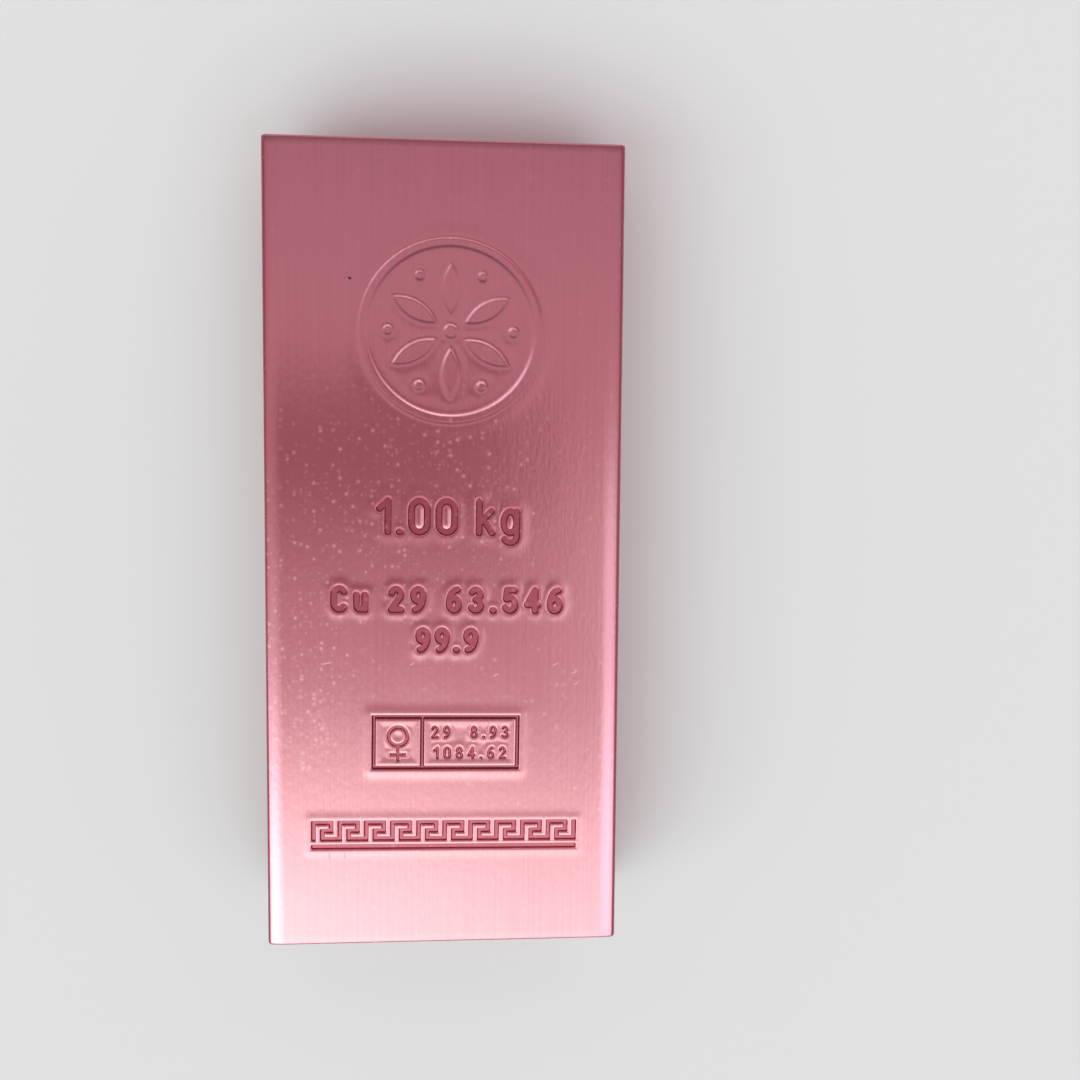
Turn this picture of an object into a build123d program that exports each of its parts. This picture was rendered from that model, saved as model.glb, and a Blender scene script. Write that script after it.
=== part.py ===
from build123d import *
import os

# One-kilogram copper ingot: a length of drawn flat bar, sawn square at both ends, its upper face struck
# with a ringed rosette, a two-cell hallmark frame, and a fret with a line under it. The strike is one die's
# work, so all the marks share its turn, each is sunk to one depth, and their walls lean back by its draft.
#
# Frame, in millimetres: X across the bar, Y along it towards the rosette, Z up out of the struck face.
# The origin is the middle of the face that the bar lies on.

# The bar
LENGTH = 113.4
WIDTH = 50.0
THICKNESS = 19.8
BAND_WIDTH = 2.1        # each broad face slopes off to its long edges in a band this wide
BAND_DROP = 0.22        # and by this much
RIM_RADIUS = 0.7        # from the band round into the side
END_BREAK = 0.25        # sharpness taken off the sawn ends

# The die
STRIKE_DEPTH = 0.4
DRAFT = 20.0            # lean of a mark's walls, degrees from upright
STRIKE_SHIFT = 0.55     # the die came down this far to the right of the centre line
STRIKE_TURN = -0.54     # and turned by this many degrees, clockwise

# The ring and the rosette in it
RING_RADIUS = 13.0      # outer edge of the groove
RING_LINE = 1.6
RING_MARGIN = 13.1      # from the bar's upper end to the groove
PETALS = 6
PETAL_INSET = 1.9       # from the groove's inner edge to a petal's tip
PETAL_START = 2.1       # from the rosette's centre to a petal's foot
PETAL_WIDTH = 2.7
BEAD_RADIUS = 0.8
HUB_RADIUS = 1.1

# The frame of two cells
FRAME_WIDTH = 21.0
FRAME_HEIGHT = 7.9
FRAME_LINE = 0.6
SIGN_CELL = 7.15        # from the frame's left edge to the middle of the line between the cells

# The fret and the line under it
FOOT_MARGIN = 13.75     # from the bar's lower end to the line
SIDE_MARGIN = 6.05      # from each side of the bar to the fret and the line
RULE_HEIGHT = 0.8
RULE_GAP = 0.4          # from the line to the fret
FRET_HEIGHT = 3.05
FRET_STROKE = 0.72
FRET_HOOKS = 10
FRAME_GAP = 7.35        # from the fret to the frame

# Places that follow from the sizes above
RING_Y = LENGTH / 2 - RING_MARGIN - RING_RADIUS
FOOT_LENGTH = WIDTH - 2 * SIDE_MARGIN
FRET_Y = -LENGTH / 2 + FOOT_MARGIN + RULE_HEIGHT + RULE_GAP + FRET_HEIGHT / 2
FRAME_Y = FRET_Y + FRET_HEIGHT / 2 + FRAME_GAP + FRAME_HEIGHT / 2


def section():
    """The drawn section, X across and Y up: two flats with sloping bands, and sides with rounded rims."""
    side = WIDTH / 2
    flat = side - BAND_WIDTH
    right = [(flat, 0), (side, BAND_DROP), (side, THICKNESS - BAND_DROP), (flat, THICKNESS)]
    left = [(-x, y) for x, y in reversed(right)]
    outline = make_face(Polyline(*right, *left, close=True))
    corners = outline.vertices().sort_by(Axis.X)
    return fillet(corners[:2] + corners[-2:], RIM_RADIUS)


def blank():
    """The bar before it is struck: its drawn section along Y, with the sawn ends broken."""
    bar = extrude(Plane.XZ * section(), LENGTH / 2, both=True)
    faces = bar.faces().sort_by(Axis.Y)
    return chamfer(faces[0].edges() + faces[-1].edges(), END_BREAK)


def sunk(outline, *islands):
    """What the die pushes out under an outline at Z 0, less the islands that stay standing in it."""
    tool = extrude(outline, -STRIKE_DEPTH, taper=DRAFT)
    for island in islands:
        tool -= extrude(island, -STRIKE_DEPTH, taper=-DRAFT)
    return tool


def struck(tool, y):
    """A mark's tool at its place in the die, and the die on the bar's upper face."""
    return Pos(STRIKE_SHIFT, 0, THICKNESS) * Rot(0, 0, STRIKE_TURN) * Pos(0, y) * tool


def petal(tip):
    """A leaf along X from the rosette's hub to its tip, between two equal arcs."""
    foot = (PETAL_START, 0)
    point = (tip, 0)
    middle = (PETAL_START + tip) / 2
    upper = ThreePointArc(foot, (middle, PETAL_WIDTH / 2), point)
    lower = ThreePointArc(point, (middle, -PETAL_WIDTH / 2), foot)
    return make_face([upper, lower])


def medallion():
    """The ring, with six petals round a hub and a bead between each two."""
    inner = RING_RADIUS - RING_LINE
    tip = inner - PETAL_INSET
    marks = [sunk(Circle(RING_RADIUS), Circle(inner)), sunk(Circle(HUB_RADIUS))]
    for index in range(PETALS):
        angle = 90 + index * 360 / PETALS
        between = angle + 180 / PETALS
        marks.append(Rot(0, 0, angle) * sunk(petal(tip)))
        marks.append(Rot(0, 0, between) * Pos(tip - BEAD_RADIUS, 0) * sunk(Circle(BEAD_RADIUS)))
    return marks


def hallmark_frame():
    """A drawn line round two cells, the left one nearly square."""
    left = -FRAME_WIDTH / 2 + FRAME_LINE
    right = FRAME_WIDTH / 2 - FRAME_LINE
    divider = -FRAME_WIDTH / 2 + SIGN_CELL
    cells = []
    for start, end in ((left, divider - FRAME_LINE / 2), (divider + FRAME_LINE / 2, right)):
        cell = Rectangle(end - start, FRAME_HEIGHT - 2 * FRAME_LINE)
        cells.append(Pos((start + end) / 2, 0) * cell)
    return [sunk(Rectangle(FRAME_WIDTH, FRAME_HEIGHT), *cells)]


def fret():
    """A running key of square hooks: up, across, down, back, down, and on to the next hook."""
    hook = [(0, 0), (0, 2), (2, 2), (2, 1), (1, 1), (1, 0)]
    hook_length = 3
    hook_height = 2
    end = hook_length * FRET_HOOKS
    path = [(x + hook_length * index, y) for index in range(FRET_HOOKS) for x, y in hook]
    path += [(end, 0), (end, hook_height)]
    step_x = (FOOT_LENGTH - FRET_STROKE) / end
    step_y = (FRET_HEIGHT - FRET_STROKE) / hook_height
    strokes = []
    for (x1, y1), (x2, y2) in zip(path, path[1:]):
        stroke = Rectangle(abs(x2 - x1) * step_x + FRET_STROKE, abs(y2 - y1) * step_y + FRET_STROKE)
        middle = Pos((x1 + x2 - end) / 2 * step_x, (y1 + y2 - hook_height) / 2 * step_y)
        strokes.append(middle * sunk(stroke))
    return [Part() + strokes]


def foot_band():
    """The fret, and the line that runs under the whole of it."""
    rule_y = -(FRET_HEIGHT + RULE_HEIGHT) / 2 - RULE_GAP
    return fret() + [Pos(0, rule_y) * sunk(Rectangle(FOOT_LENGTH, RULE_HEIGHT))]


def ingot():
    """The whole bar, struck."""
    marks = [struck(mark, RING_Y) for mark in medallion()]
    marks += [struck(mark, FRAME_Y) for mark in hallmark_frame()]
    marks += [struck(mark, FRET_Y) for mark in foot_band()]
    return blank() - marks


os.makedirs("parts", exist_ok=True)
export_step(ingot(), "parts/ingot.step")
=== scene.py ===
"""A one-kilogram copper bar: drawn flat, sawn to length and struck with a die on its upper face.

Sizes are in millimetres where a name or a comment says so, and the meshes are in metres. X runs across the
bar, Y along it towards the ringed rosette, and Z up out of the struck face.
"""

from collections import namedtuple
from math import copysign, cos, pi, radians, sin, tan

import bmesh
import bpy
import numpy as np
from mathutils import Euler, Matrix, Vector


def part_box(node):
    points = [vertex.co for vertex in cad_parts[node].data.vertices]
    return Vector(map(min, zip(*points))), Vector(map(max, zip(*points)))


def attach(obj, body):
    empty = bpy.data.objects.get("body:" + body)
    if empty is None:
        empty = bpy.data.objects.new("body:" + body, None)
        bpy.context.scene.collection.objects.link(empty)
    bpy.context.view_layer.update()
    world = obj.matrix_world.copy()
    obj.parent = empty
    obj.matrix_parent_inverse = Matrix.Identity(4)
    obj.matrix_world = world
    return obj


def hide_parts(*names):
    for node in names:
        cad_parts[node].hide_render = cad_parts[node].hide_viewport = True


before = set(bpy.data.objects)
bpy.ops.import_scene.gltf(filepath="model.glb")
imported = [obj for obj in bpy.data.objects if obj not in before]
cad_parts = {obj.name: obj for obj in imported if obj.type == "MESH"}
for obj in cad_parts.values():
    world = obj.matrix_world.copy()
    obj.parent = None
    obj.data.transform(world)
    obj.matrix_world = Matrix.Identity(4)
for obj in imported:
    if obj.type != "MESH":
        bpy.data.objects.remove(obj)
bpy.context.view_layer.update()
MM = 0.001

# The bar, in millimetres, its outer sizes from the frame
LOW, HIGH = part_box("ingot")
WIDTH, LENGTH, THICKNESS = (HIGH - LOW) / MM
BAND_WIDTH = 2.1        # each broad face slopes off to its long edges in a band this wide
BAND_DROP = 0.22
BAND_EASE = 0.5         # from the flat round into the band
RIM_RADIUS = 0.7        # and from the band round into the side
END_BREAK = 0.35        # a file's stroke round each sawn end
CELL = 0.96             # side of the coarse cells of the struck face
LEAST_EDGE = 0.004      # edges shorter than this are closed up
CLOSE = 1e-7            # metres within which two places are the same

# The die, in millimetres
STRIKE_SHIFT = 0.55     # it came down this far to the right of the centre line
STRIKE_TURN = radians(-0.54)
LIP_CREST = 0.2         # from a rim out to the top of the metal heaped up round it
SHOULDER_RUN = 0.3      # metal drawn down into a mark round its rim
CROWN = 0.15            # slope of the islands that stand in the figures, up to their ridges
CROWN_CURVE = 1.3       # and how that slope grows towards their rims

# How far inside and outside a rim each halving of the cells reaches
COARSE_BANDS = ((2.3, 2.3), (0.8, 0.8))
CRISP_BANDS = COARSE_BANDS + ((0.42, 0.44),)
SOFT_BANDS = COARSE_BANDS + ((0.5, 0.15),)
SMALL_BANDS = COARSE_BANDS + ((0.4, 0.4), (0.26, 0.12))

# The ring and the rosette in it
RING_RADIUS = 13.0
RING_LINE = 1.6
RING_MARGIN = 13.1
PETALS = 6
PETAL_INSET = 1.9
PETAL_START = 2.1
PETAL_WIDTH = 2.7
BEAD_RADIUS = 0.8
HUB_RADIUS = 1.1

# The three lines of figures: height, distance of the baseline from mid length, stroke, gap, and how far the
# line reaches from the middle of its baseline
WEIGHT_CAP = 5.4
WEIGHT_BASE = 2.1
WEIGHT_STROKE = 1.0
WEIGHT_GAP = 0.62
WEIGHT_REACH = (12, 8)
ELEMENT_CAP = 3.95
ELEMENT_BASE = -8.9
ELEMENT_STROKE = 1.02
ELEMENT_GAP = 0.74
ELEMENT_REACH = (18, 5)
PURITY_CAP = 3.75
PURITY_BASE = -14.55
PURITY_STROKE = 0.98
PURITY_GAP = 0.42
PURITY_REACH = (6, 5)
ARC_STEP = 18           # degrees between the points of a round stroke

# The frame of two cells
FRAME_WIDTH = 21.0
FRAME_HEIGHT = 7.9
FRAME_LINE = 0.6
SIGN_CELL = 7.15
FRAME_GAP = 7.35
SIGN_RADIUS = 1.6       # the old sign for copper: its ring, with how far that stands above the middle,
SIGN_LINE = 0.56
SIGN_RISE = 0.88
SIGN_STEM = 2.1         # and the cross under it, with how far the middles of its strokes lie below
SIGN_BAR = 2.3
SIGN_STROKE = 0.44
SIGN_STEM_DROP = 1.7
SIGN_BAR_DROP = 1.72
SMALL_CAP = 1.88        # the numbers: height, stroke, gap and the two baselines
SMALL_STROKE = 0.42
SMALL_GAP = 0.6
UPPER_BASE = 0.6
LOWER_BASE = -2.42

# The fret and the line under it
FOOT_MARGIN = 13.75
SIDE_MARGIN = 6.05
RULE_HEIGHT = 0.8
RULE_GAP = 0.4
FRET_HEIGHT = 3.05
FRET_STROKE = 0.72
FRET_HOOKS = 10

RING_Y = LENGTH / 2 - RING_MARGIN - RING_RADIUS
FOOT_LENGTH = WIDTH - 2 * SIDE_MARGIN
FRET_Y = -LENGTH / 2 + FOOT_MARGIN + RULE_HEIGHT + RULE_GAP + FRET_HEIGHT / 2
FRAME_Y = FRET_Y + FRET_HEIGHT / 2 + FRAME_GAP + FRAME_HEIGHT / 2

# The camera, found from the outline of the face
CAMERA_PLACE = (2.306, 12.616, 172.082)
CAMERA_TURN = (-4.168, -4.173, 0.510)
CAMERA_FOCUS = 1081.0   # pixels, in a frame 1080 pixels wide
PHOTO_WIDTH = 1080.0
SENSOR = 36.0

# Spots on the face: middle, length and width in millimetres, and turn in degrees
SPECKLED = ((-6, 6, 52, 40, 0), (-20, -12, 22, 60, 0))

# Pale scratches, and the nick and two cuts below the line: the same, and how strong each is
SCRATCHES = (
    (-16.5, -15.95, 2.6, 0.34, 11, 1.0),
    (-4.5, -16.1, 1.1, 0.4, 32, 1.0),
    (7.4, -17.7, 1.3, 0.36, 25, 1.0),
    (15.9, -16.2, 1.5, 0.28, 22, 1.0),
    (18.6, -17.4, 1.4, 0.28, 18, 1.0),
    (18.9, -19.0, 1.2, 0.28, 28, 1.0),
    (-18.6, -7.4, 0.9, 0.4, -40, 1.0),
)
DARK_SPOTS = (
    (-13.04, 37.59, 0.75, 0.5, -30, 1.0),
    (-16.2, -43.7, 0.22, 1.4, 0, 0.45),
    (-14.0, -43.7, 0.22, 1.4, 0, 0.45),
)
SPOT_CORE = 0.3         # share of a spot's reach that is its even core

# The copper's patterns, in millimetres: their grain across the bar, along it and up
DRAWN_LINES = (0.3, 40, 0.3)
GRAIN = (0.6, 1.3, 0.6)
SAW_LINES = (40, 40, 0.3)
WAVES = (9, 14, 9)
LARGE_SPECK = 0.9
SMALL_SPECK = 0.6
SHADE_DEPTHS = (0.1, 0.26)       # below the face, where the painted shade of the marks' bottoms, darker and redder, begins and is full
UPPER_DEPTHS = (0.5, 0.3)       # and where the specks do

# The floor, in metres, and in millimetres how far it lies under the bar, inside its outline and below it
FLOOR_SIZE = 6.0
FLOOR_LAP_SIDE = 1.2
FLOOR_LAP_END = 0.3
FLOOR_GAP = 0.02

# The room, whose places are tangents of angles from straight up: to the right of it, and along towards the
# rosette. A patch of it has a strength, and edges: each begins to show at one tangent and is full at another
Patch = namedtuple("Patch", "strength right along")
LEAST_RISE = 0.05       # keeps the tangents finite near the horizon
WALL_LIGHT = 0.72
WALL_PATCHES = (
    Patch(-0.42, (), ((0.0, 0.8),)),        # darker and darker towards the rosette's end,
    Patch(-0.09, (), ((0.28, 0.5),)),       # more so past the ceiling's corner,
    Patch(0.59, (), ((0.6, 1.1),)),         # and pale again low down
)
PANEL = Patch(1.0, ((0.1, 0.04), (-0.65, -0.2)), ((0.085, 0.055), (-0.15, 0.01)))
SIDE_WALLS = (
    Patch(1.3, ((0.02, 0.35), (0.65, 0.42)), ((0.06, -0.1), (-0.55, -0.25))),
    Patch(0.35, ((-0.22, -0.42), (-0.9, -0.6)), ((-0.02, -0.13),)),
)
WINDOW = Patch(2.4, ((1.4, 0.7), (-2.6, -1.3)), ((-2.2, -1.0),))
WINDOW_EDGE = (-0.17, -0.46)
WINDOW_SLOPE = Patch(0.036, ((0.0, 0.1), (0.3, 0.18)), ())      # how much further off its edge lies there
WINDOW_GAINS = (Patch(0.27, ((0.12, -0.2),), ()), Patch(0.6, ((-0.22, -0.42),), ()))

# Light of the walls, the panel, the window and the sides, as linear red, green and blue, and full alpha
WALL_TINT = (1.06, 0.97, 0.99, 1.0)
PANEL_TINT = (0.58, 0.35, 0.38, 1.0)
WINDOW_TINT = (0.57, 1.0, 0.83, 1.0)
SIDE_TINT = (0.55, 1.0, 0.99, 1.0)
SIDE_TINTS = (Patch(1.0, ((0.12, 0.3),), ()), Patch(0.6, ((-0.22, -0.4),), ()))
BACKDROP = "E4E4E4"

# Settings of a map range node that eases in and out
SMOOTH = {"interpolation_type": "SMOOTHSTEP"}

# One part of the die: how far up the bar its middle is, how far it reaches from there, its marks, the islands
# that stand in them, how deep they go, how wide their walls are from above, how far the metal is drawn down
# at their rims, how high it is heaped up round them and how far out, all in millimetres, and how fine the
# cells are round their rims
Part = namedtuple("Part", "y reach marks islands depth wall drop lip spread bands")


# Marks: each function takes points as an array of rows (x, y) in millimetres, and gives how far each one
# lies outside the mark's rim, less than nothing inside it

def slab(x, y, width, height):
    """A rectangle round (x, y)."""
    def rim(points):
        outside = abs(points - (x, y)) - (width / 2, height / 2)
        return np.linalg.norm(np.maximum(outside, 0), axis=1) + np.minimum(outside.max(axis=1), 0)
    return rim


def disc(x, y, radius):
    """A round mark."""
    def rim(points):
        return np.linalg.norm(points - (x, y), axis=1) - radius
    return rim


def ring(x, y, radius, line):
    """A round line, whose outer edge has the radius."""
    def rim(points):
        from_middle = np.linalg.norm(points - (x, y), axis=1) - (radius - line / 2)
        return abs(from_middle) - line / 2
    return rim


def leaf(angle, start, tip, width):
    """A petal between two arcs, along a ray from the origin."""
    ray = np.array((cos(angle), sin(angle)))
    side = np.array((-ray[1], ray[0]))
    half = (tip - start) / 2
    radius = (half ** 2 + (width / 2) ** 2) / width
    offset = radius - width / 2
    middle = ray * (start + tip) / 2

    def rim(points):
        one = np.linalg.norm(points - middle - side * offset, axis=1)
        other = np.linalg.norm(points - middle + side * offset, axis=1)
        return np.maximum(one, other) - radius
    return rim


def turn(x, y, across, up, start, end):
    """Points along an elliptical arc round (x, y), between two angles in degrees."""
    steps = max(2, round(abs(end - start) / ARC_STEP))
    angles = [radians(start + (end - start) * step / steps) for step in range(steps + 1)]
    return [(x + across * cos(angle), y + up * sin(angle)) for angle in angles]


# The width of each figure or letter, on a line one high, and its strokes
FIGURES = {
    " ": (0.05, []),
    ".": (0.0, [[(-0.02, 0), (0.02, 0)]]),
    "0": (0.5, [turn(0.25, 0.72, 0.25, 0.28, 0, 180) + turn(0.25, 0.28, 0.25, 0.28, 180, 360)
                + [(0.5, 0.72)]]),
    "1": (0.28, [[(0, 0.74), (0.27, 1), (0.27, 0)]]),
    "2": (0.46, [turn(0.23, 0.75, 0.22, 0.25, 165, -38) + [(0, 0), (0.46, 0)]]),
    "3": (0.46, [turn(0.22, 0.76, 0.21, 0.24, 150, -90) + turn(0.22, 0.26, 0.24, 0.26, 90, -150)[1:]]),
    "4": (0.5, [[(0.37, 0), (0.37, 1), (0, 0.3), (0.5, 0.3)]]),
    "5": (0.46, [[(0.42, 1), (0.07, 1), (0.04, 0.56)] + turn(0.21, 0.31, 0.25, 0.31, 125, -150)]),
    "6": (0.46, [turn(0.23, 0.29, 0.23, 0.29, 0, 360), turn(0.4, 0.29, 0.4, 0.71, 180, 92)]),
    "8": (0.46, [turn(0.23, 0.77, 0.19, 0.23, 0, 360), turn(0.23, 0.27, 0.23, 0.27, 0, 360)]),
    "9": (0.46, [turn(0.23, 0.71, 0.23, 0.29, 0, 360), turn(0.06, 0.71, 0.4, 0.71, 0, -88)]),
    "C": (0.48, [turn(0.26, 0.7, 0.26, 0.3, 35, 180) + turn(0.26, 0.3, 0.26, 0.3, 180, 325)]),
    "g": (0.42, [turn(0.21, 0.36, 0.21, 0.34, 0, 360),
                 [(0.42, 0.7)] + turn(0.21, -0.08, 0.21, 0.22, 0, -150)]),
    "k": (0.42, [[(0, 0), (0, 1)], [(0.39, 0.7), (0, 0.3)], [(0.14, 0.44), (0.42, 0)]]),
    "u": (0.4, [[(0, 0.7)] + turn(0.2, 0.22, 0.2, 0.22, 180, 360) + [(0.4, 0.7), (0.4, 0)]]),
}

# The middle and half size of the loops of those that have one
LOOPS = {
    "0": (0.25, 0.5, 0.25, 0.5),
    "6": (0.23, 0.29, 0.23, 0.29),
    "9": (0.23, 0.71, 0.23, 0.29),
    "g": (0.21, 0.36, 0.21, 0.34),
}


def set_out(words, cap, stroke, gap):
    """Each figure of a centred line with the distance from its left side to the line's middle."""
    scale = cap - stroke
    pen = 0.0
    pens = []
    for figure in words:
        pens.append(pen)
        pen += FIGURES[figure][0] * scale + stroke + gap
    middle = (pen - stroke - gap) / 2
    return [(figure, pen - middle) for figure, pen in zip(words, pens)]


def figures(words, cap, stroke, gap, x=0.0, base=0.0):
    """A line of figures centred on x, drawn with a round stroke."""
    starts = []
    ends = []
    for figure, pen in set_out(words, cap, stroke, gap):
        for line in FIGURES[figure][1]:
            places = np.array(line) * (cap - stroke) + (x + pen, base + stroke / 2)
            starts.extend(places[:-1])
            ends.extend(places[1:])

    def rim(points):
        nearest = np.full(len(points), np.inf)
        for start, end in zip(starts, ends):
            along = end - start
            beside = points - start
            share = np.clip(beside @ along / (along @ along), 0, 1)
            nearest = np.minimum(nearest, np.linalg.norm(beside - share[:, None] * along, axis=1))
        return nearest - stroke / 2
    return rim


def islands(words, cap, stroke, gap):
    """The middle and half size of each island of metal that stands inside a figure of a line."""
    found = []
    for figure, pen in set_out(words, cap, stroke, gap):
        if figure in LOOPS:
            x, y, across, up = (size * (cap - stroke) for size in LOOPS[figure])
            found.append((x + pen, y + stroke / 2, across - stroke / 2, up - stroke / 2))
    return found


def rosette():
    """Six petals round a hub, and a bead between each two."""
    tip = RING_RADIUS - RING_LINE - PETAL_INSET
    marks = [disc(0, 0, HUB_RADIUS)]
    for index in range(PETALS):
        angle = pi / 2 + index * 2 * pi / PETALS
        between = angle + pi / PETALS
        bead = tip - BEAD_RADIUS
        marks.append(leaf(angle, PETAL_START, tip, PETAL_WIDTH))
        marks.append(disc(bead * cos(between), bead * sin(between), BEAD_RADIUS))
    return marks


def frame_lines():
    """The lines round and between two cells."""
    side = (FRAME_WIDTH - FRAME_LINE) / 2
    head = (FRAME_HEIGHT - FRAME_LINE) / 2
    divider = SIGN_CELL - FRAME_WIDTH / 2
    lines = [slab(x, 0, FRAME_LINE, FRAME_HEIGHT) for x in (-side, divider, side)]
    return lines + [slab(0, y, FRAME_WIDTH, FRAME_LINE) for y in (-head, head)]


def cell_marks():
    """The old sign for copper in the frame's left cell, and plain numbers in its right one."""
    side = (FRAME_WIDTH - FRAME_LINE) / 2
    divider = SIGN_CELL - FRAME_WIDTH / 2
    sign_x = (divider - side) / 2
    sign = [ring(sign_x, SIGN_RISE, SIGN_RADIUS, SIGN_LINE)]
    sign.append(slab(sign_x, -SIGN_STEM_DROP, SIGN_STROKE, SIGN_STEM))
    sign.append(slab(sign_x, -SIGN_BAR_DROP, SIGN_BAR, SIGN_STROKE))
    numbers_x = (divider + side) / 2
    numbers = []
    for words, base in (("29  8.93", UPPER_BASE), ("1084.62", LOWER_BASE)):
        numbers.append(figures(words, SMALL_CAP, SMALL_STROKE, SMALL_GAP, numbers_x, base))
    return sign + numbers


def foot_band():
    """The running fret and the line under it."""
    hook = [(0, 0), (0, 2), (2, 2), (2, 1), (1, 1), (1, 0)]
    hook_length = 3
    hook_height = 2
    end = hook_length * FRET_HOOKS
    path = [(x + hook_length * index, y) for index in range(FRET_HOOKS) for x, y in hook]
    path += [(end, 0), (end, hook_height)]
    step_x = (FOOT_LENGTH - FRET_STROKE) / end
    step_y = (FRET_HEIGHT - FRET_STROKE) / hook_height
    marks = []
    for (x1, y1), (x2, y2) in zip(path, path[1:]):
        middle_x = (x1 + x2 - end) / 2 * step_x
        middle_y = (y1 + y2 - hook_height) / 2 * step_y
        width = abs(x2 - x1) * step_x + FRET_STROKE
        height = abs(y2 - y1) * step_y + FRET_STROKE
        marks.append(slab(middle_x, middle_y, width, height))
    rule_y = -(FRET_HEIGHT + RULE_HEIGHT) / 2 - RULE_GAP
    marks.append(slab(0, rule_y, FOOT_LENGTH, RULE_HEIGHT))
    return marks


def die():
    """Every part of the die."""
    weight_line = ("1.00 kg", WEIGHT_CAP, WEIGHT_STROKE, WEIGHT_GAP)
    element_line = ("Cu 29 63.546", ELEMENT_CAP, ELEMENT_STROKE, ELEMENT_GAP)
    purity_line = ("99.9", PURITY_CAP, PURITY_STROKE, PURITY_GAP)
    ring_line = [ring(0, 0, RING_RADIUS, RING_LINE)]
    ring_reach = (RING_RADIUS, RING_RADIUS)
    frame_reach = (FRAME_WIDTH / 2, FRAME_HEIGHT / 2)
    foot_reach = (FOOT_LENGTH / 2, FRET_HEIGHT / 2 + RULE_GAP + RULE_HEIGHT)
    return [
        Part(RING_Y, ring_reach, ring_line, (),
             depth=0.085, wall=0.48, drop=0.01, lip=0.035, spread=2.4, bands=SOFT_BANDS),
        Part(RING_Y, ring_reach, rosette(), (),
             depth=0.085, wall=0.42, drop=0.015, lip=0.02, spread=1.2, bands=SOFT_BANDS),
        Part(WEIGHT_BASE, WEIGHT_REACH, [figures(*weight_line)], islands(*weight_line),
             depth=0.42, wall=0.16, drop=0.02, lip=0.04, spread=1.5, bands=CRISP_BANDS),
        Part(ELEMENT_BASE, ELEMENT_REACH, [figures(*element_line)], islands(*element_line),
             depth=0.38, wall=0.15, drop=0.02, lip=0.045, spread=1.3, bands=CRISP_BANDS),
        Part(PURITY_BASE, PURITY_REACH, [figures(*purity_line)], islands(*purity_line),
             depth=0.38, wall=0.15, drop=0.02, lip=0.045, spread=1.3, bands=CRISP_BANDS),
        Part(FRAME_Y, frame_reach, frame_lines(), (),
             depth=0.50, wall=0.20, drop=0.025, lip=0.055, spread=1.6, bands=CRISP_BANDS),
        Part(FRAME_Y, frame_reach, cell_marks(), (),
             depth=0.28, wall=0.13, drop=0.02, lip=0.03, spread=0.9, bands=SMALL_BANDS),
        Part(FRET_Y, foot_reach, foot_band(), (),
             depth=0.36, wall=0.16, drop=0.025, lip=0.032, spread=1.4, bands=CRISP_BANDS),
    ]


def in_part(points, part):
    """Points of the face as the part of the die sees them, from its middle and square with it."""
    cosine, sine = cos(STRIKE_TURN), sin(STRIKE_TURN)
    return (points - (STRIKE_SHIFT, 0)) @ np.array(((cosine, -sine), (sine, cosine))) - (0, part.y)


def rim_distances(points, part):
    """How far each point of the face lies outside a part's nearest rim, or far off where none is near."""
    local = in_part(points, part)
    near = (abs(local) < np.array(part.reach) + part.spread + 2 * CELL).all(axis=1)
    nearest = np.full(len(points), np.inf)
    for mark in part.marks:
        nearest[near] = np.minimum(nearest[near], mark(local[near]))
    return nearest


def smooth_step(low, high, values):
    """Values turned into a smooth step from 0 at the low end to 1 at the high one."""
    share = np.clip((values - low) / (high - low), 0, 1)
    return share * share * (3 - 2 * share)


def face_heights(points, parts):
    """The struck face's height at each point, in millimetres: lip, shoulder, wall and floor."""
    lip = np.zeros(len(points))
    sunk = np.zeros(len(points))
    margin = 0.05           # how far an island's slope reaches past its loop
    on_rim = -0.01          # a point this near inside a rim still lies on it
    for part in parts:
        distance = rim_distances(points, part)
        shoulder = part.drop * np.clip(1 - distance / SHOULDER_RUN, 0, 1) ** 2
        inside = np.clip(-distance / part.wall, 0, 1)
        if part.bands is SOFT_BANDS:
            inside = smooth_step(0, 1, inside)
        wall = part.drop + (part.depth - part.drop) * inside
        lip = np.maximum(lip, part.lip * (1 - smooth_step(LIP_CREST, part.spread, distance)))
        for x, y, across, up in part.islands:
            beside = abs(in_part(points, part) - (x, y)) < (across + margin, up + margin)
            rounded = CROWN * across * np.clip(1 - distance / across, 0, 1) ** CROWN_CURVE
            shoulder = np.where(beside.all(axis=1), np.maximum(shoulder, rounded), shoulder)
        sunk = np.maximum(sunk, np.where(distance > on_rim, shoulder, wall))
    return lip - sunk


def on_face(vertex):
    """True for a vertex of the flat upper face."""
    return vertex.co.z > HIGH.z - CLOSE


def positions(vertices):
    """Places on the face as rows (x, y) in millimetres."""
    return np.array([vertex.co[:2] for vertex in vertices]) / MM


def long_edges(bar, x):
    """The edges along the bar at a distance in millimetres to either side of its middle."""
    return [edge for edge in bar.edges if edge.verts[0].co.y * edge.verts[1].co.y < 0
            and all(abs(abs(vertex.co.x) - x * MM) < CLOSE for vertex in edge.verts)]


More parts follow.
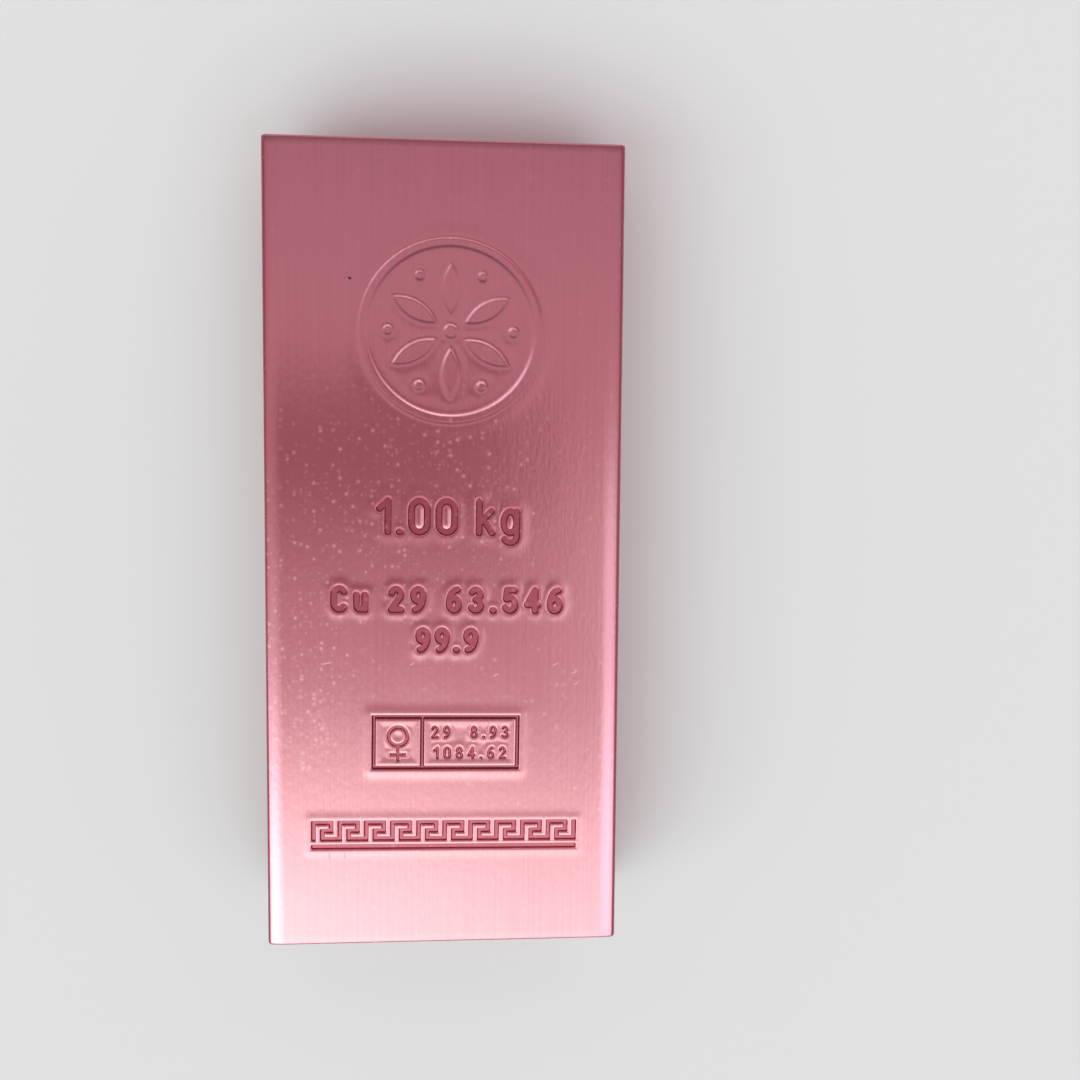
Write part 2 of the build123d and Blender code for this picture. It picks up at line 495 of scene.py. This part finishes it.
def blank():
    """The bar before the strike: its section pulled to length, and its upper flat cut into cells."""
    side = WIDTH / 2
    flat = side - BAND_WIDTH
    right = [(flat, 0), (side, BAND_DROP), (side, THICKNESS - BAND_DROP), (flat, THICKNESS)]
    left = [(-x, z) for x, z in reversed(right)]
    bar = bmesh.new()
    section = bar.faces.new([bar.verts.new((x * MM, LOW.y, LOW.z + z * MM)) for x, z in right + left])
    pulled = bmesh.ops.extrude_face_region(bar, geom=[section])["geom"]
    ends = [item for item in pulled if isinstance(item, bmesh.types.BMVert)]
    bmesh.ops.translate(bar, vec=(0, LENGTH * MM, 0), verts=ends)
    bmesh.ops.recalc_face_normals(bar, faces=bar.faces)

    # The rims and the bands' edges, and then the sawn ends
    rounding = {"offset_type": "OFFSET", "affect": "EDGES", "profile": 0.5, "material": -1}
    slope = np.arctan2(BAND_DROP, BAND_WIDTH)
    rim = RIM_RADIUS * tan((pi / 2 - slope) / 2)
    bmesh.ops.bevel(bar, geom=long_edges(bar, side), offset=rim * MM, segments=8, **rounding)
    bmesh.ops.bevel(bar, geom=long_edges(bar, flat), offset=BAND_EASE * MM, segments=4, **rounding)
    around_ends = [edge for edge in bar.edges if edge.verts[0].co.y * edge.verts[1].co.y > 0]
    bmesh.ops.bevel(bar, geom=around_ends, offset=END_BREAK * MM, segments=4, **rounding)

    # Cells along the bar, and across its upper flat
    lengthwise = [edge for edge in bar.edges if edge.verts[0].co.y * edge.verts[1].co.y < 0]
    bmesh.ops.subdivide_edges(bar, edges=lengthwise, cuts=round(LENGTH / CELL) - 1, use_grid_fill=True)
    across = [edge for edge in bar.edges if all(on_face(vertex) for vertex in edge.verts)
              and abs(edge.verts[0].co.x - edge.verts[1].co.x) > flat * MM]
    bmesh.ops.subdivide_edges(bar, edges=across, cuts=round(2 * flat / CELL) - 1, use_grid_fill=True)
    return bar


def refine(bar, parts):
    """Halves the cells of the face round the rims, several times over."""
    for level in range(max(len(part.bands) for part in parts)):
        edges = [edge for edge in bar.edges if on_face(edge.verts[0]) and on_face(edge.verts[1])]
        starts = positions([edge.verts[0] for edge in edges])
        ends = positions([edge.verts[1] for edge in edges])
        spans = np.linalg.norm(ends - starts, axis=1)
        wanted = np.zeros(len(edges), bool)
        for part in parts:
            if level < len(part.bands):
                inward, outward = part.bands[level]
                distance = rim_distances((starts + ends) / 2, part)
                wanted |= (distance > -inward - spans / 2) & (distance < outward + spans / 2)
        chosen = [edge for edge, take in zip(edges, wanted) if take]
        bmesh.ops.subdivide_edges(bar, edges=chosen, cuts=1, use_grid_fill=True)


def meet_lines(bar, part):
    """Draws the vertices beside a part's rims, and beside the feet of its walls, onto them, and joins them,
    so that both run clean."""
    fine = CELL / 2 ** len(part.bands)
    step = 0.01                         # over which the slope of the distance is taken
    for line in (0, -part.wall):        # the rim, and the foot of the wall
        face = [vertex for vertex in bar.verts if on_face(vertex)]
        places = positions(face)
        distance = rim_distances(places, part) - line
        close = abs(distance) < 0.5 * fine
        beside = places[close]
        slope = np.stack([rim_distances(beside + shift, part) - rim_distances(beside - shift, part)
                          for shift in np.eye(2) * step], axis=1) / (2 * step)
        moved = beside - distance[close, None] * slope
        on_line = [vertex for vertex, take in zip(face, close) if take]
        for vertex, (x, y) in zip(on_line, moved):
            vertex.co.x = x * MM
            vertex.co.y = y * MM
        bmesh.ops.connect_verts(bar, verts=on_line, check_degenerate=True)
        if part.bands is not SOFT_BANDS:
            joined = set(on_line)
            for vertex in on_line:
                for edge in vertex.link_edges:
                    edge.smooth = edge.smooth and edge.other_vert(vertex) not in joined


def strike(bar, parts):
    """Presses the die into the face."""
    face = [vertex for vertex in bar.verts if on_face(vertex)]
    for vertex, height in zip(face, face_heights(positions(face), parts)):
        vertex.co.z += height * MM


def ingot_bar():
    """The whole bar as one closed mesh."""
    parts = die()
    bar = blank()
    refine(bar, parts)
    for part in parts:
        meet_lines(bar, part)
    bmesh.ops.dissolve_degenerate(bar, edges=bar.edges, dist=LEAST_EDGE * MM)
    strike(bar, parts)
    square_on = 0.999       # a normal's share along an axis, above which its face is plain and flat
    for face in bar.faces:
        plain = max(abs(face.normal.x), abs(face.normal.y), -face.normal.z) > square_on
        face.smooth = not plain
    mesh = bpy.data.meshes.new("ingot_bar")
    bar.to_mesh(mesh)
    bar.free()
    piece = bpy.data.objects.new("ingot_bar", mesh)
    bpy.context.collection.objects.link(piece)
    return piece


def srgb(code):
    """A hex colour such as "CC7F86" as linear red, green, blue and full alpha."""
    levels = [int(code[index:index + 2], 16) / 255 for index in (0, 2, 4)]
    linear = [level / 12.92 if level <= 0.04045 else ((level + 0.055) / 1.055) ** 2.4 for level in levels]
    return (*linear, 1.0)


def add(tree, kind, inputs=None, **settings):
    """Adds a node with its settings. An input is given a value, a hex colour, an output, or a node, whose
    first output in use it is joined to."""
    node = tree.nodes.new(kind)
    for name, setting in settings.items():
        setattr(node, name, setting)
    for socket, value in (inputs or {}).items():
        if isinstance(value, bpy.types.Node):
            value = next(output for output in value.outputs if output.enabled)
        if isinstance(value, bpy.types.NodeSocket):
            tree.links.new(value, node.inputs[socket])
        elif isinstance(value, str):
            node.inputs[socket].default_value = srgb(value)
        else:
            node.inputs[socket].default_value = value
    return node


def new_material(name):
    """A material and its empty node tree."""
    material = bpy.data.materials.new(name)
    material.use_nodes = True
    material.node_tree.nodes.clear()
    return material, material.node_tree


def noise(tree, place, sizes, detail):
    """Noise whose grain has the given sizes along X, Y and Z, in millimetres."""
    scale = [1 / (size * MM) for size in sizes]
    stretched = add(tree, "ShaderNodeMapping", {"Vector": place, "Scale": scale})
    return add(tree, "ShaderNodeTexNoise", {"Vector": stretched, "Scale": 1.0, "Detail": detail})


def spot(tree, place, x, y, length, width, turned):
    """1 in the core of an ellipse on the face, given in millimetres and degrees, fading to 0 at its edge."""
    local = add(tree, "ShaderNodeMapping",
                {"Vector": place, "Location": (x * MM, y * MM, HIGH.z), "Rotation": (0, 0, radians(turned)),
                 "Scale": (length / 2 * MM, width / 2 * MM, MM)}, vector_type="TEXTURE")
    reach = add(tree, "ShaderNodeVectorMath", {0: local}, operation="LENGTH").outputs["Value"]
    return add(tree, "ShaderNodeMapRange", {"Value": reach, "From Min": 1.0, "From Max": SPOT_CORE}, **SMOOTH)


def spots(tree, place, rows):
    """Several spots of the face, each with its strength, added up."""
    cover = 0.0
    for *shape, strength in rows:
        inputs = {0: spot(tree, place, *shape), 1: strength, 2: cover}
        cover = add(tree, "ShaderNodeMath", inputs, operation="MULTIPLY_ADD")
    return cover


def specks(tree, place, size, thick):
    """Soft round specks of uneven strength, about half as wide as the size in millimetres, and more of them
    where thick is 1."""
    cells = add(tree, "ShaderNodeTexVoronoi", {"Vector": place, "Scale": 1 / (size * MM)}).outputs
    # The lot that each speck draws, better where they are thick, settles how strong it is
    lot = add(tree, "ShaderNodeSeparateColor", {"Color": cells["Color"]}).outputs["Red"]
    better = add(tree, "ShaderNodeMath", {0: thick, 1: 0.3, 2: lot}, operation="MULTIPLY_ADD")
    strength = add(tree, "ShaderNodeMapRange", {"Value": better, "From Min": 0.72, "From Max": 1.2}, **SMOOTH)
    # It fades from near its middle to half a cell away
    near = {"Value": cells["Distance"], "From Min": 0.5, "From Max": 0.05}
    middle = add(tree, "ShaderNodeMapRange", near, **SMOOTH)
    return add(tree, "ShaderNodeMath", {0: strength, 1: middle}, operation="MULTIPLY")


def satin_copper():
    """Copper with the satin of a drawing die: a metal's tinted shine, softened, with fine lines lengthwise.

    The bottoms of the marks are rougher, and their darker, redder colour is painted shade: the deep red of
    light bounced between the walls of the marks, and the shade those walls cast. The face has a fine grain,
    small dull specks, some scratches and one nick, and the sawn ends are rougher with the saw's lines across.
    The drawn lines are a few hundredths of a millimetre wide on the metal, and coarser here so that they
    show.
    """
    material, tree = new_material("satin_drawn_copper")
    coordinates = add(tree, "ShaderNodeTexCoord").outputs
    place = coordinates["Object"]
    height = add(tree, "ShaderNodeSeparateXYZ", {"Vector": place}).outputs["Z"]
    facing = add(tree, "ShaderNodeSeparateXYZ", {"Vector": coordinates["Normal"]}).outputs["Y"]
    endwise = add(tree, "ShaderNodeMath", {0: facing}, operation="ABSOLUTE")
    sawn = add(tree, "ShaderNodeMapRange", {"Value": endwise, "From Min": 0.8, "From Max": 0.98}, **SMOOTH)
    by_depth = []
    for start, end in (SHADE_DEPTHS, UPPER_DEPTHS):
        inputs = {"Value": height, "From Min": HIGH.z - start * MM, "From Max": HIGH.z - end * MM}
        by_depth.append(add(tree, "ShaderNodeMapRange", inputs, **SMOOTH))
    # sunk is where the painted shade of the marks' bottoms lies, and upper is where the specks lie
    sunk, upper = by_depth

    one, other = [spot(tree, place, *shape) for shape in SPECKLED]
    thick = add(tree, "ShaderNodeMath", {0: one, 1: other}, operation="MAXIMUM")
    large = specks(tree, place, LARGE_SPECK, thick)
    small = specks(tree, place, SMALL_SPECK, thick)
    fainter = add(tree, "ShaderNodeMath", {0: small, 1: 0.6}, operation="MULTIPLY")
    either = add(tree, "ShaderNodeMath", {0: large, 1: fainter}, operation="MAXIMUM")
    dull = add(tree, "ShaderNodeMath", {0: either, 1: upper}, operation="MULTIPLY")

    drawn_lines = noise(tree, place, DRAWN_LINES, 3.0)
    grain = noise(tree, place, GRAIN, 2.0)
    saw_lines = noise(tree, place, SAW_LINES, 3.0)
    waves = noise(tree, place, WAVES, 1.0)

    # What covers the plain metal: where, its colour, how much of that shows, and how much rougher it is
    covers = (
        # Painted shade: the bottoms of the marks darker and redder, standing in for light bounced between
        # their walls; they are rougher too
        (sunk, "A85260", 1.0, 0.1),
        (dull, "E2A8B0", 0.32, 0.14),
        (spots(tree, place, SCRATCHES), "E2A8B0", 0.22, 0.14),
        (spots(tree, place, DARK_SPOTS), "5A2A2E", 1.0, 0.0),
    )
    plain_roughness = 0.16
    sawn_rougher = 0.18
    tone = add(tree, "ShaderNodeMix", {0: drawn_lines, 6: "C87986", 7: "D28591"}, data_type="RGBA")
    roughness = add(tree, "ShaderNodeMath", {0: sawn, 1: sawn_rougher, 2: plain_roughness},
                    operation="MULTIPLY_ADD")
    for cover, colour, share, rougher in covers:
        shown = add(tree, "ShaderNodeMath", {0: cover, 1: share}, operation="MULTIPLY")
        tone = add(tree, "ShaderNodeMix", {0: shown, 6: tone, 7: colour}, data_type="RGBA")
        inputs = {0: cover, 1: rougher, 2: roughness}
        roughness = add(tree, "ShaderNodeMath", inputs, operation="MULTIPLY_ADD")

    # How far each pattern stands out, in millimetres, and how strongly
    reliefs = ((waves, 0.03, 1.0), (grain, 0.01, 1.0), (drawn_lines, 0.002, 1.0), (saw_lines, 0.05, sawn))
    surface = {}
    for pattern, rise, strength in reliefs:
        inputs = {"Height": pattern, "Distance": rise * MM, "Strength": strength, **surface}
        surface = {"Normal": add(tree, "ShaderNodeBump", inputs)}
    metal = add(tree, "ShaderNodeBsdfPrincipled",
                {"Base Color": tone, "Metallic": 1.0, "Roughness": roughness, **surface})
    add(tree, "ShaderNodeOutputMaterial", {"Surface": metal})
    return material


def matt_board():
    """Plain painted board: an even pale surface without a shine. From behind it is clear."""
    material, tree = new_material("matt_board")
    paint = add(tree, "ShaderNodeBsdfPrincipled", {"Base Color": "D4BFC3", "Roughness": 0.9})
    behind = add(tree, "ShaderNodeNewGeometry").outputs["Backfacing"]
    clear = add(tree, "ShaderNodeBsdfTransparent")
    board = add(tree, "ShaderNodeMixShader", {0: behind, 1: paint, 2: clear})
    add(tree, "ShaderNodeOutputMaterial", {"Surface": board})
    return material


def pale_floor():
    """The board that the bar lies on, open where the bar hides it, so that the underside can be looked at."""
    board = bmesh.new()
    bmesh.ops.create_grid(board, x_segments=1, y_segments=1, size=FLOOR_SIZE / 2)
    middle = board.faces[:][0]
    bmesh.ops.inset_region(board, faces=[middle], thickness=FLOOR_SIZE / 4, use_boundary=True)
    for vertex in middle.verts:
        vertex.co.x = copysign((WIDTH / 2 - FLOOR_LAP_SIDE) * MM, vertex.co.x)
        vertex.co.y = copysign((LENGTH / 2 - FLOOR_LAP_END) * MM, vertex.co.y)
    bmesh.ops.delete(board, geom=[middle], context="FACES_ONLY")
    mesh = bpy.data.meshes.new("floor")
    board.to_mesh(mesh)
    board.free()
    mesh.materials.append(matt_board())
    floor = bpy.data.objects.new("floor", mesh)
    bpy.context.collection.objects.link(floor)
    floor.location.z = -FLOOR_GAP * MM


def lit(tree, light, patches, right, along):
    """Adds patches to a light: the strength of each, fading out past its edges."""
    for patch in patches:
        strength = patch.strength
        for way, edges in ((right, patch.right), (along, patch.along)):
            for start, end in edges:
                inputs = {"Value": way, "From Min": start, "From Max": end}
                edge = add(tree, "ShaderNodeMapRange", inputs, **SMOOTH)
                strength = add(tree, "ShaderNodeMath", {0: strength, 1: edge}, operation="MULTIPLY")
        light = add(tree, "ShaderNodeMath", {0: light, 1: strength}, operation="ADD")
    return light


def studio():
    """A pale room with a large window beyond the bar's lower end and a dark panel overhead to the left."""
    world = bpy.data.worlds.new("room")
    bpy.context.scene.world = world
    world.use_nodes = True
    tree = world.node_tree
    tree.nodes.clear()
    direction = add(tree, "ShaderNodeTexCoord").outputs["Generated"]
    parts = add(tree, "ShaderNodeSeparateXYZ", {"Vector": direction}).outputs
    rise = add(tree, "ShaderNodeMath", {0: parts["Z"], 1: LEAST_RISE}, operation="MAXIMUM")
    right = add(tree, "ShaderNodeMath", {0: parts["X"], 1: rise}, operation="DIVIDE")
    along = add(tree, "ShaderNodeMath", {0: parts["Y"], 1: rise}, operation="DIVIDE")

    walls = lit(tree, WALL_LIGHT, WALL_PATCHES, right, along)
    panel = lit(tree, 0.0, [PANEL], right, along)
    wall_tint = add(tree, "ShaderNodeMix", {0: panel, 6: WALL_TINT, 7: PANEL_TINT}, data_type="RGBA")
    wall_light = add(tree, "ShaderNodeBackground", {"Color": wall_tint, "Strength": walls})

    sloping = lit(tree, along, [WINDOW_SLOPE], right, along)
    start, end = WINDOW_EDGE
    edge = add(tree, "ShaderNodeMapRange", {"Value": sloping, "From Min": start, "From Max": end}, **SMOOTH)
    pane = lit(tree, 0.0, [WINDOW], right, along)
    gain = lit(tree, 1.0, WINDOW_GAINS, right, along)
    clear_pane = add(tree, "ShaderNodeMath", {0: pane, 1: edge}, operation="MULTIPLY")
    window = add(tree, "ShaderNodeMath", {0: clear_pane, 1: gain}, operation="MULTIPLY")
    glow = lit(tree, window, SIDE_WALLS, right, along)
    sides = lit(tree, 0.0, SIDE_TINTS, right, along)
    glow_tint = add(tree, "ShaderNodeMix", {0: sides, 6: WINDOW_TINT, 7: SIDE_TINT}, data_type="RGBA")
    window_light = add(tree, "ShaderNodeBackground", {"Color": glow_tint, "Strength": glow})

    light = add(tree, "ShaderNodeAddShader", {0: wall_light, 1: window_light})
    backdrop = add(tree, "ShaderNodeBackground", {"Color": BACKDROP, "Strength": 1.0})
    seen = add(tree, "ShaderNodeLightPath").outputs["Is Camera Ray"]
    room = add(tree, "ShaderNodeMixShader", {0: seen, 1: light, 2: backdrop})
    add(tree, "ShaderNodeOutputWorld", {"Surface": room})


def photo_camera():
    """The camera above the bar, as the outline of its face gives it."""
    lens = bpy.data.cameras.new("camera")
    lens.sensor_width = SENSOR
    lens.lens = SENSOR * CAMERA_FOCUS / PHOTO_WIDTH
    lens.clip_start = 0.01
    camera = bpy.data.objects.new("camera", lens)
    camera.location = Vector(CAMERA_PLACE) * MM
    camera.rotation_euler = Euler([radians(angle) for angle in CAMERA_TURN])
    bpy.context.collection.objects.link(camera)
    bpy.context.scene.camera = camera


bar = ingot_bar()
bar.data.materials.append(satin_copper())
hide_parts("ingot")
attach(bar, "root")
pale_floor()
studio()
photo_camera()
bpy.context.scene.view_settings.view_transform = "Standard"
